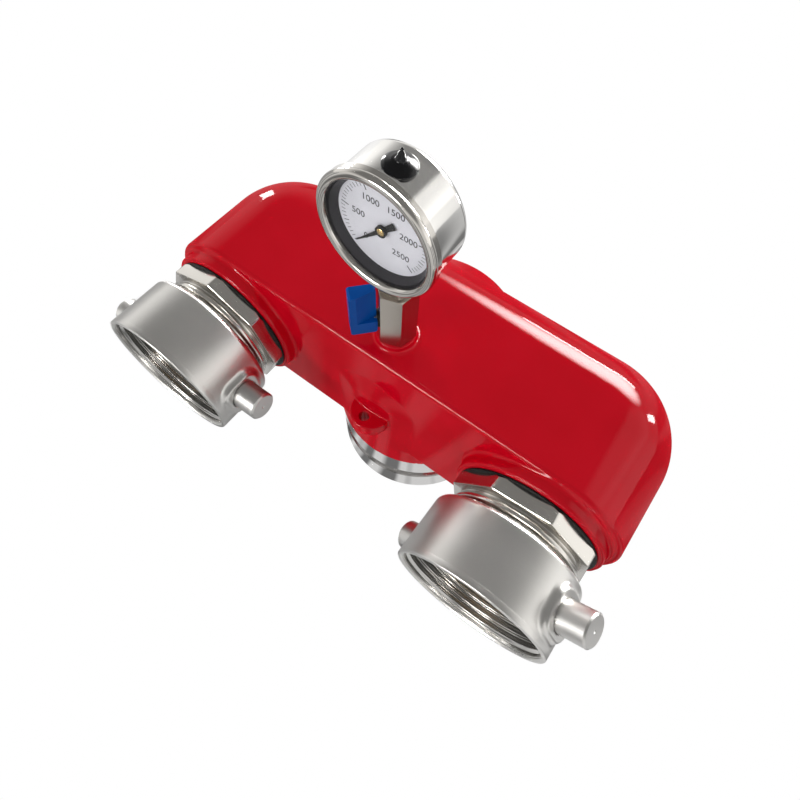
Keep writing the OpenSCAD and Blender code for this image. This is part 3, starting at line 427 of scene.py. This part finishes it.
def quads(inside, label):
    """A quad over each grid edge that goes from inside to outside, facing outwards."""
    faces = []
    for axis in range(3):
        a1, a2 = (axis + 1) % 3, (axis + 2) % 3
        lo = [slice(None)] * 3
        hi = [slice(None)] * 3
        lo[axis], hi[axis] = slice(0, -1), slice(1, None)
        for s in (lo, hi):
            s[a1], s[a2] = slice(1, -1), slice(1, -1)
        n0, n1 = inside[tuple(lo)], inside[tuple(hi)]
        edge = np.stack(np.nonzero(n0 != n1), 1)
        flip = n1[tuple(edge.T)]
        edge[:, a1] += 1
        edge[:, a2] += 1
        quad = []
        for d1, d2 in ((-1, -1), (0, -1), (0, 0), (-1, 0)):
            c = edge.copy()
            c[:, a1] += d1
            c[:, a2] += d2
            quad.append(label[tuple(c.T)])
        quad = np.stack(quad, 1)
        quad[flip] = quad[flip][:, ::-1]
        faces.append(quad)
    return np.concatenate(faces)


def skin_of(field, grid):
    """Surface nets: the field's zero surface as quads, with each point then moved onto it."""
    count = [len(g) for g in grid]
    widest = max(float(np.diff(g).max()) for g in grid)
    f = field(np.meshgrid(*grid, indexing="ij")).astype(np.float32)
    inside = f < 0
    corners = sum(inside[i:count[0] - 1 + i, j:count[1] - 1 + j, k:count[2] - 1 + k].astype(np.int8)
                  for i in (0, 1) for j in (0, 1) for k in (0, 1))
    cells = np.nonzero((corners > 0) & (corners < 8))
    label = -np.ones([n - 1 for n in count], np.int64)
    label[cells] = np.arange(len(cells[0]))
    at = crossings(f, cells)
    p = np.stack([g[i] + at[:, k] * (g[i + 1] - g[i])
                  for k, (g, i) in enumerate(zip(grid, cells))], 1)
    for _ in range(4):
        value, slope = field(p.T), gradient(field, p)
        steep = np.maximum((slope ** 2).sum(1), 0.25)
        p = p - np.clip(value, -widest, widest)[:, None] * slope / steep[:, None]
    slope = gradient(field, p)
    return p, quads(inside, label), slope / np.linalg.norm(slope, axis=1)[:, None]


def moulded_piece(name, field, grid, mat, body, matrix=Matrix.Identity(4)):
    p, faces, normals = skin_of(field, grid)
    obj = piece(name, in_metres(matrix, p), faces, mat, body, 0)
    turn = np.array(matrix)[:3, :3]
    obj.data.normals_split_custom_set_from_vertices([tuple(v) for v in normals @ turn.T])
    return obj


# --- The casting -----------------------------------------------------------------------------
def header(x, y, z, t):
    """The header, drawn in by t."""
    u = np.abs(x) - (INLET_X + END - CORNER)
    v = y - (BACK - CORNER)
    out = box(u, v) - (CORNER - HEADER_R)
    skin = np.hypot(np.maximum(out, 0), z - INLET_Z) - (HEADER_R - t)
    return both(skin, -(y + FRONT - t), FRONT_EDGE)


def chamber(x, y, z, t):
    """The chamber over the outlet, drawn in by t."""
    q = np.hypot(x, y) - (CHAMBER_R - CHAMBER_ROUND)
    w = z - (CHAMBER_TOP - CHAMBER_ROUND)
    return box(q, w) - (CHAMBER_ROUND - t)


def eye(x, y, z):
    """Flat half-moon over the outlet, with the cone that carries it."""
    ly = y + FRONT + EYE_OUT
    plan = np.where(ly < 0, np.hypot(x, ly), np.abs(x)) - EYE_HALF
    plan = np.maximum(plan, ly - EYE_RUN)
    flat = both(plan, np.abs(z - EYE_Z) - EYE_HALF_T, 0.7)
    cone = np.maximum((np.hypot(x, ly) - CONE_R - (z - CONE_FROM)) * CONE_SLANT,
                      np.maximum(CONE_FROM - z, z - CONE_TO))
    return either(flat, cone, 1.0)


def casting(p):
    x, y, z = p
    from_inlet = np.hypot(np.abs(x) - INLET_X, z - INLET_Z)
    from_valve = np.hypot(x, y - VALVE_Y)
    # Outside
    d = header(x, y, z, 0.0)
    d = either(d, both(chamber(x, y, z, 0.0), OUTLET_LEN - z, 0.8), 2.5)
    rim = both(from_inlet - RIM_R, np.maximum(-y - RIM_FRONT, y + RIM_BACK), 1.6)
    d = either(d, rim, 1.8)
    boss = both(from_valve - BOSS_R, np.maximum(z - VALVE_BASE, BOSS_FROM - z), 0.8)
    d = either(d, boss, 2.5)
    d = either(d, eye(x, y, z), 1.0)
    # Hollow, then the bores for the nipple, the adaptors and the valve, and the eye's hole
    hollow = either(header(x, y, z, WALL),
                    both(chamber(x, y, z, WALL), SPIGOT_TOP - z, 0.5), 5.0)
    d = both(d, -hollow, 0.3)
    d = both(d, -np.maximum(np.hypot(x, y) - SPIGOT_R, z - SPIGOT_TOP), 0.5)
    d = both(d, -np.maximum(from_inlet - RIM_BORE_R, y + RIM_BORE_BACK), 0.6)
    d = both(d, -np.maximum(from_valve - BOSS_BORE_R, BOSS_BORE_FROM - z), 0.4)
    return both(d, -np.maximum(np.hypot(x - HOLE_X, y - HOLE_Y) - HOLE_R, HOLE_FROM - z), 0.5)


COARSE, FINE = ((2.2, 1.0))
red = moulded_piece("casting_skin", casting,
                    [lines(-162, 162, COARSE, FINE, (-16, 16)),
                     lines(-76, 64, COARSE, FINE, (-72, -46)),
                     lines(44, 170, COARSE, FINE, (88, 110), (157, 168))],
                    RED, "body")
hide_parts("header_casting")


# --- Inlets: gaskets, adaptors with an eight-sided nut, swivel collars with soft pads ---------
# Stations run outwards from the plane INLET_Y. An outline is a list of (radius, station, fillet).
RIM_OUT, GASKET_BORE_R, GASKET_R, GASKET_TO = 3.5, 36.2, 41.6, 4.7
SWIVEL_R, SWIVEL_FROM, SWIVEL_TO, PIN_AT, PIN_R = 43.7, 21.5, 59.2, 40.35, 8.6
NOSE_R, NOSE_END, BORE_R = 36.5, 34.0, 30.5
# Groove of the retaining wire
WIRE_AT, WIRE_HALF, WIRE_DEEP = 29.0, 1.95, 1.9
WIRE_FROM, WIRE_TO = WIRE_AT - WIRE_HALF, WIRE_AT + WIRE_HALF
# Inside of the collar, as a lathed liner and a lip: the coupling's thread is three round ridges.
LAND_R, LINER_R, LIP_FROM, LINER_TO = 36.55, 41.2, 55.6, 57.8
THREAD_R, THREAD_DEEP, THREAD_FROM, THREAD_PITCH, THREAD_TURNS = 39.0, 1.3, 42.6, 4.6, 3
# Turn of each collar and of each nut, in degrees
TURN = {-1: 4.0, 1: 36.0}
NUT_TURN = {-1: 42.0, 1: 32.0}
# Nut: radius over its corners, number of sides, and the radius its corners are turned off to at
# the back
NUT_R, NUT_SIDES, NUT_BACK_R = 42.4, 8, 41.0
# Pads under the pins: half their width, their corners, and how far they stand out
PAD_HALF, PAD_CORNER, PAD_OUT = 11.8, 7.5, 1.9

GASKET = [(GASKET_BORE_R, RIM_OUT, 0), (GASKET_R, RIM_OUT, 0.3), (GASKET_R, GASKET_TO, 0.3),
          (GASKET_BORE_R, GASKET_TO, 0)]
LIP = [(THREAD_R + 1.9, 57.2, 0.1), (THREAD_R + 1.9, SWIVEL_TO - 1.0, 0.2),
       (THREAD_R + 2.6, SWIVEL_TO, 0.5), (SWIVEL_R + 0.02, SWIVEL_TO, 0.8),
       (SWIVEL_R + 0.02, LIP_FROM, 0.02), (LINER_R + 0.1, LIP_FROM, 0.1),
       (LINER_R + 0.1, 57.2, 0.1)]


def collar(turn):
    """Outside of a swivel collar, with its pads and the holes for its pins."""
    c, s = math.cos(math.radians(turn)), math.sin(math.radians(turn))

    def field(p):
        x, y, z = p
        r = np.hypot(x, y)
        d = both(both(r - SWIVEL_R, SWIVEL_FROM - z, 3.4), z - LIP_FROM - 0.8, 0.3)
        out, across, along = np.abs(x * c + y * s), y * c - x * s, z - PIN_AT
        square = box(np.abs(across) - PAD_HALF + PAD_CORNER,
                     np.abs(along) - PAD_HALF + PAD_CORNER) - PAD_CORNER
        pad = np.maximum(both(square, out - SWIVEL_R - PAD_OUT, 1.3), 30.0 - out)
        d = either(d, pad, 3.2)
        d = both(d, LINER_R - r, 0.3)
        hole = np.maximum(np.hypot(across, along) - PIN_R - 0.05, LINER_R - 1.0 - out)
        return both(d, -hole, 0.35)

    return field


def liner():
    """Inside of a swivel collar, from the nut's end to the mouth and back outside it."""
    ridges = []
    for k in range(THREAD_TURNS):
        at = THREAD_FROM + THREAD_PITCH * k
        ridges += [(THREAD_R, at - 1.5, 0.5), (THREAD_R + THREAD_DEEP, at - 0.8, 0.5),
                   (THREAD_R + THREAD_DEEP, at + 0.8, 0.5), (THREAD_R, at + 1.5, 0.5)]
    swivel = [(LAND_R + 1.0, SWIVEL_FROM + 0.4, 0.3), (LAND_R + 1.0, 24.5, 0.2),
              (LAND_R, 24.5, 0.2), (LAND_R, WIRE_FROM, 0.1),
              (LAND_R + WIRE_DEEP, WIRE_FROM, 0.1), (LAND_R + WIRE_DEEP, WIRE_TO, 0.1),
              (LAND_R, WIRE_TO, 0.1), (LAND_R, NOSE_END, 0.2)]
    washer_seat = [(THREAD_R - 1.0, NOSE_END, 0.2), (THREAD_R - 1.0, 39.3, 0.2),
                   (THREAD_R, 39.6, 0.2)]
    mouth = [(THREAD_R, 54.6, 0.5), (THREAD_R + 1.6, 55.6, 0.5),
             (THREAD_R + 1.6, LINER_TO, 0.3)]
    outside = [(LINER_R + 0.3, LINER_TO, 0.1), (LINER_R + 0.3, SWIVEL_FROM + 0.4, 0.1)]
    return swivel + washer_seat + ridges + mouth + outside


def adaptor(turn):
    """Outline of an adaptor at each angle: only its eight-sided nut changes."""
    flat_r = NUT_R * math.cos(math.pi / NUT_SIDES)
    side_angle = 360 // NUT_SIDES

    def outline(angle):
        off = (math.degrees(angle) - turn) % side_angle - side_angle / 2
        r = flat_r / math.cos(math.radians(off))
        back_r = min(r - 0.15, NUT_BACK_R)
        spigot = [(31.5, -24, 0.2), (34.5, -24, 0.3), (35.95, -22.5, 0.3),
                  (35.95, -2.5, 0.2), (34.5, -2, 0.2)]
        octagon = [(34.5, GASKET_TO, 0.2), (back_r, GASKET_TO, 0.2),
                   (r, GASKET_TO + (r - back_r) * 0.85, 0.1), (r, 13, 0.5)]
        neck = [(35.2, 13, 0.7), (35.2, 14.8, 0.8), (37.2, 15.8, 1.0), (37.2, 18.4, 1.0),
                (34.4, 18.8, 0.4), (34.4, 22.4, 0.4)]
        nose = [(NOSE_R, 22.8, 0.3), (NOSE_R, WIRE_FROM, 0.1),
                (NOSE_R - WIRE_DEEP, WIRE_FROM, 0.1), (NOSE_R - WIRE_DEEP, WIRE_TO, 0.1),
                (NOSE_R, WIRE_TO, 0.1), (NOSE_R, NOSE_END, 0.6)]
        bore = [(29, NOSE_END, 0.4), (26, 31, 0.3), (26, 27, 0.3), (BORE_R, 27, 0.2),
                (BORE_R, -10, 0.2), (31.5, -10, 0.2)]
        return spigot + octagon + neck + nose + bore

    return outline


# A check valve's spring, in the inlet's own frame: it lies on the guide at one end and on the disc
# at the other.
COIL_R, COIL_WIRE, COIL_TURNS, COIL_FROM, COIL_TO, CHECK_TRAVEL = 11.0, 0.9, 6, -9.05, 19.45, 12.0
COIL_STEPS, COIL_SIDES = 32, 8


def coil(name, matrix, body):
    verts, faces = [], []
    rings, sides = COIL_TURNS * COIL_STEPS, COIL_SIDES
    for i in range(rings + 1):
        a = 2 * math.pi * i / COIL_STEPS
        along = COIL_FROM + (COIL_TO - COIL_FROM) * i / rings
        for k in range(sides):
            b = 2 * math.pi * k / sides
            r = COIL_R + COIL_WIRE * math.cos(b)
            verts.append((r * math.cos(a), r * math.sin(a), along + COIL_WIRE * math.sin(b)))
    for i in range(rings):
        for k in range(sides):
            n = (k + 1) % sides
            faces.append((sides * i + k, sides * (i + 1) + k,
                          sides * (i + 1) + n, sides * i + n))
    faces += [tuple(range(sides)), tuple(sides * rings + k for k in reversed(range(sides)))]
    return piece(name, in_metres(matrix, verts), faces, SPRING, body)


collar_wide = lines(-50, 50, COARSE * 0.45, FINE * 0.8)
collar_deep = lines(19, 60, FINE * 0.8, FINE * 0.8)
for side, word in SIDES:
    place, coupling = m_inlet(side), word + "_coupling"
    spring = coil(word + "_coil", place, "body")
    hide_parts(word + "_spring")
    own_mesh(spring)
    gasket = lathe(word + "_gasket_skin", GASKET, place, RUBBER, "body", arc=3)
    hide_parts(word + "_face_gasket")
    nut = lathe(word + "_adaptor_skin", adaptor(NUT_TURN[side]), place, STEEL_NUT, "body",
                steps=320, arc=3, angle=28.0)
    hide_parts(word + "_adaptor")
    shell = moulded_piece(word + "_collar_skin", collar(TURN[side]),
                          [collar_wide, collar_wide, collar_deep],
                          STEEL_INLET, coupling, place)
    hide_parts(word + "_swivel_collar")
    mouth = lathe(word + "_collar_mouth", liner(), place, STEEL_MOUTH, coupling,
                  steps=240, arc=4)
    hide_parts(word + "_swivel_collar")
    lip = lathe(word + "_collar_lip", LIP, place, STEEL_INLET, coupling,
                steps=240, arc=4)
    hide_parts(word + "_swivel_collar")


# --- Gauge: ticks, numbers, pointer cap and fill plug -----------------------------------------
# Heights run out of the dial, in the gauge's own frame. The scale is plain: 0 to 2500 by 500.
DIAL_FACE, SCALE_R, SCALE_START, SWEEP = 19.1, 20.6, 225.0, 270.0
INK_FROM, INK_TO = DIAL_FACE - 0.02, DIAL_FACE + 0.05
NUMBER_AT, NUMBER_HALF_T = DIAL_FACE + 0.02, 0.03
TICKS, NUMBERS, NUMBER_STEP, NUMBER_SIZE = 50, 5, 500, 4.3
# Length and half-width of the ticks at a number, halfway between numbers, and elsewhere
LONG_TICK, MID_TICK, SHORT_TICK = (3.6, 0.20), (2.6, 0.14), (1.9, 0.10)


def on_dial(share):
    """Direction of the scale at that share of its sweep, as (x, y) seen from the front."""
    a = math.radians(SCALE_START - SWEEP * share)
    return math.cos(a), math.sin(a)


def dial_ticks():
    verts, faces = [], []
    for k in range(TICKS + 1):
        reach, half = LONG_TICK if k % 10 == 0 else MID_TICK if k % 5 == 0 else SHORT_TICK
        u = np.array(on_dial(k / TICKS))
        v = np.array([-u[1], u[0]])
        start = len(verts)
        for height in (INK_FROM, INK_TO):
            for r, w in ((SCALE_R, -half), (SCALE_R, half),
                         (SCALE_R - reach, half), (SCALE_R - reach, -half)):
                q = u * r + v * w
                verts.append((q[0], q[1], height))
        faces += [tuple(start + i for i in f) for f in
                  ((0, 1, 2, 3), (7, 6, 5, 4), (0, 4, 5, 1), (1, 5, 6, 2), (2, 6, 7, 3),
                   (3, 7, 4, 0))]
    return piece("dial_ticks", in_metres(M_GAUGE, verts), faces, INK, "body", 30)


def dial_numbers():
    verts, faces = [], []
    for k in range(NUMBERS + 1):
        curve = bpy.data.curves.new("dial_number_%d" % k, "FONT")
        curve.body = str(NUMBER_STEP * k)
        curve.size = NUMBER_SIZE
        curve.extrude = NUMBER_HALF_T
        curve.align_x = curve.align_y = "CENTER"
        text = bpy.data.objects.new("dial_text_%d" % k, curve)
        bpy.context.scene.collection.objects.link(text)
        bpy.context.view_layer.update()
        made = text.evaluated_get(bpy.context.evaluated_depsgraph_get())
        mesh = bpy.data.meshes.new_from_object(made)
        bpy.data.objects.remove(text)
        # The two numbers at the top stand a little further out.
        r = 12.9 if k in (2, 3) else 12.2
        x, y = (r * c for c in on_dial(k / NUMBERS))
        faces += [tuple(len(verts) + i for i in f.vertices) for f in mesh.polygons]
        verts += [(v.co.x + x, v.co.y + y, v.co.z + NUMBER_AT) for v in mesh.vertices]
    return piece("dial_numbers", in_metres(M_GAUGE, verts), faces, INK, "body", 30)


# Fill plug: how far it is in front of the gauge's axis, its turn about it, and the case's top
PLUG_OUT, PLUG_TURN, CASE_R = 12.4, 5.0, 26.9
M_PLUG = (Matrix.Translation((0, GAUGE_Y - PLUG_OUT, GAUGE_Z))
          @ Matrix.Rotation(math.radians(PLUG_TURN), 4, "Y")
          @ Matrix.Translation((0, 0, CASE_R)))
PLUG = [(0.02, -2.0, 0), (6.8, -2.0, 0.1), (6.8, 0.5, 0.5), (5.6, 1.3, 1.5), (3.4, 2.3, 2.0),
        (2.0, 2.7, 0.6), (1.2, 5.2, 0.4), (0.45, 7.5, 0.3), (0.02, 7.5, 0)]
POINTER_CAP = [(0.02, 19.4, 0), (1.9, 19.4, 0.1), (1.9, 21.0, 0.5), (0.7, 21.4, 0.4),
               (0.02, 21.4, 0)]

plug = lathe("plug_skin", PLUG, M_PLUG, PLUG_RUBBER, "body", steps=96, arc=5,
             angle=50.0)
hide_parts("fill_plug")
dial_ticks()
dial_numbers()
lathe("pointer_cap", POINTER_CAP, M_GAUGE, BRASS, "pointer", steps=48, arc=4)


# --- Floor -----------------------------------------------------------------------------------
# The floor is white to the camera. In reflections it glows with a painted shadow, darker near the
# object, and with painted reflection bands, soft stripes that run outwards; for all else it is a
# pale matt floor.
FLOOR_SIZE, FLOOR_GAP = 12, 0.0002
NEAR_GLOW, FAR_GLOW, NEAR_TO, FAR_FROM = 0.16, 0.80, 0.75, 1.0
STRIPE_SCALE, STRIPE_LOW = 3.2, 0.25


def studio_floor():
    bpy.ops.mesh.primitive_plane_add(size=FLOOR_SIZE, location=(0, 0, cad_box[0][2] - FLOOR_GAP))
    floor = bpy.context.object
    floor.name = "studio_floor"
    mat, tree, matt = material("studio_white", (0.86, 0.86, 0.86), 0.6)
    path = tree.nodes.new("ShaderNodeLightPath")
    coord = tree.nodes.new("ShaderNodeTexCoord")
    away = add(tree, "ShaderNodeVectorMath", operation="LENGTH")
    tree.links.new(coord.outputs["Object"], away.inputs[0])
    # Painted shadow: the glow that reflections see is dimmer near the object, in place of the
    # object's shadow on the floor.
    shade = ramp(tree, away.outputs["Value"], NEAR_TO, FAR_FROM, NEAR_GLOW, FAR_GLOW)
    # Painted reflection bands: soft stripes in that glow give light and dark bands in the metal's
    # reflections.
    stripes = add(tree, "ShaderNodeTexNoise", Scale=STRIPE_SCALE, Detail=1.0)
    tree.links.new(unit(tree, coord.outputs["Object"]), stripes.inputs["Vector"])
    striped = ramp(tree, stripes.outputs["Fac"], STRIPE_LOW, 1.0, 0.43, 0.57)
    shade = maths(tree, "MULTIPLY", shade, striped)
    glow = add(tree, "ShaderNodeEmission", Color=(1, 1, 1, 1))
    tree.links.new(choose(tree, path.outputs["Is Camera Ray"], shade, 1.0),
                   glow.inputs["Strength"])
    mirrored = maths(tree, "ADD", path.outputs["Is Glossy Ray"],
                     path.outputs["Is Transmission Ray"], True)
    seen = maths(tree, "ADD", path.outputs["Is Camera Ray"], mirrored, True)
    layered(tree, seen, matt, glow)
    floor.data.materials.append(mat)
    return floor


floor = studio_floor()

# --- World -----------------------------------------------------------------------------------
# It is white to the camera, plain for diffuse light, and a room with a dim ceiling and soft
# bright walls for reflections. Each wall is (direction, spread along X, half-angle where it
# starts, half-angle where it is full, strength).
WALLS = [
    ((0.98, 0.10, 0.16), 1.0, 36.0, 22.0, 0.6),
    ((-0.96, 0.20, 0.16), 1.0, 32.0, 20.0, 0.3),
    ((0.60, 0.58, 0.52), 1.0, 20.0, 12.0, 0.8),
    ((-0.20, -0.88, 0.38), 2.5, 8.0, 4.0, 26.0),
    ((0.06, 0.92, 0.40), 1.7, 15.0, 3.0, 42.0),
]
# Strength of the room low down and at its ceiling, the heights between which it fades, and the
# strength for diffuse light.
ROOM_LOW, ROOM_HIGH, FADE_FROM, FADE_TO = 1.0, 0.28, 0.22, 0.56
DIFFUSE = 0.54


def wall(tree, direction, aim, spread, start, full, strength):
    squeezed = add(tree, "ShaderNodeVectorMath", operation="MULTIPLY")
    tree.links.new(direction, squeezed.inputs[0])
    squeezed.inputs[1].default_value = (1.0 / spread, 1.0, 1.0)
    dot = add(tree, "ShaderNodeVectorMath", operation="DOT_PRODUCT")
    tree.links.new(unit(tree, squeezed.outputs[0]), dot.inputs[0])
    dot.inputs[1].default_value = tuple(Vector((aim[0] / spread, aim[1], aim[2])).normalized())
    patch = add(tree, "ShaderNodeMapRange", interpolation_type="SMOOTHSTEP",
                From_Min=math.cos(math.radians(start)), From_Max=math.cos(math.radians(full)),
                To_Max=strength)
    tree.links.new(dot.outputs["Value"], patch.inputs["Value"])
    return patch.outputs["Result"]


def studio_world():
    world = bpy.data.worlds.new("studio")
    bpy.context.scene.world = world
    world.use_nodes = True
    # With sampling on, the walls would light the diffuse surfaces too.
    world.cycles.sampling_method = "NONE"
    tree = world.node_tree
    coord = tree.nodes.new("ShaderNodeTexCoord")
    path = tree.nodes.new("ShaderNodeLightPath")
    direction = coord.outputs["Generated"]
    apart = tree.nodes.new("ShaderNodeSeparateXYZ")
    tree.links.new(direction, apart.inputs[0])
    room = ramp(tree, apart.outputs["Z"], ROOM_LOW, ROOM_HIGH, FADE_FROM, FADE_TO)
    for values in WALLS:
        room = maths(tree, "ADD", room, wall(tree, direction, *values))
    plain = choose(tree, path.outputs["Is Diffuse Ray"], room, DIFFUSE)
    white = choose(tree, path.outputs["Is Camera Ray"], plain, 1.0)
    sky = tree.nodes["Background"]
    tree.links.new(white, sky.inputs["Strength"])
    sky.inputs["Color"].default_value = (1.0, 0.99, 0.97, 1)


studio_world()


# --- Lamps and camera ------------------------------------------------------------------------
def lamp(name, at, aim, size, size_y, power):
    data = bpy.data.lights.new(name, "AREA")
    data.shape = "RECTANGLE"
    data.size = size
    data.size_y = size_y
    data.energy = power
    obj = bpy.data.objects.new(name, data)
    bpy.context.scene.collection.objects.link(obj)
    obj.location = at
    obj.rotation_euler = (Vector(aim) - Vector(at)).to_track_quat("-Z", "Y").to_euler()


CENTRE = (0, 0, 0.12)
lamp("front_softbox", (-0.45, -1.15, 0.68), CENTRE, 0.36, 0.14, 4.0)
lamp("back_strip", (0.15, 1.25, 0.40), CENTRE, 0.60, 0.05, 5.0)
lamp("back_right_softbox", (0.85, 0.95, 0.34), CENTRE, 0.12, 0.24, 4.0)
lamp("left_softbox", (-1.05, 0.55, 0.30), CENTRE, 0.14, 0.30, 5.0)

camera = bpy.data.objects.new("camera", bpy.data.cameras.new("camera"))
bpy.context.scene.collection.objects.link(camera)
camera.data.lens = 25.23
camera.data.sensor_width = 36.0
camera.data.clip_start = 0.01
camera.matrix_world = Matrix((
    (0.80002306, -0.54473734, 0.25144449, 0.094914),
    (0.59944619, 0.70824504, -0.37289843, -0.167720),
    (0.02504739, 0.44905478, 0.89315308, 0.410239),
    (0, 0, 0, 1)))
bpy.context.scene.camera = camera
bpy.context.scene.view_settings.view_transform = "Standard"
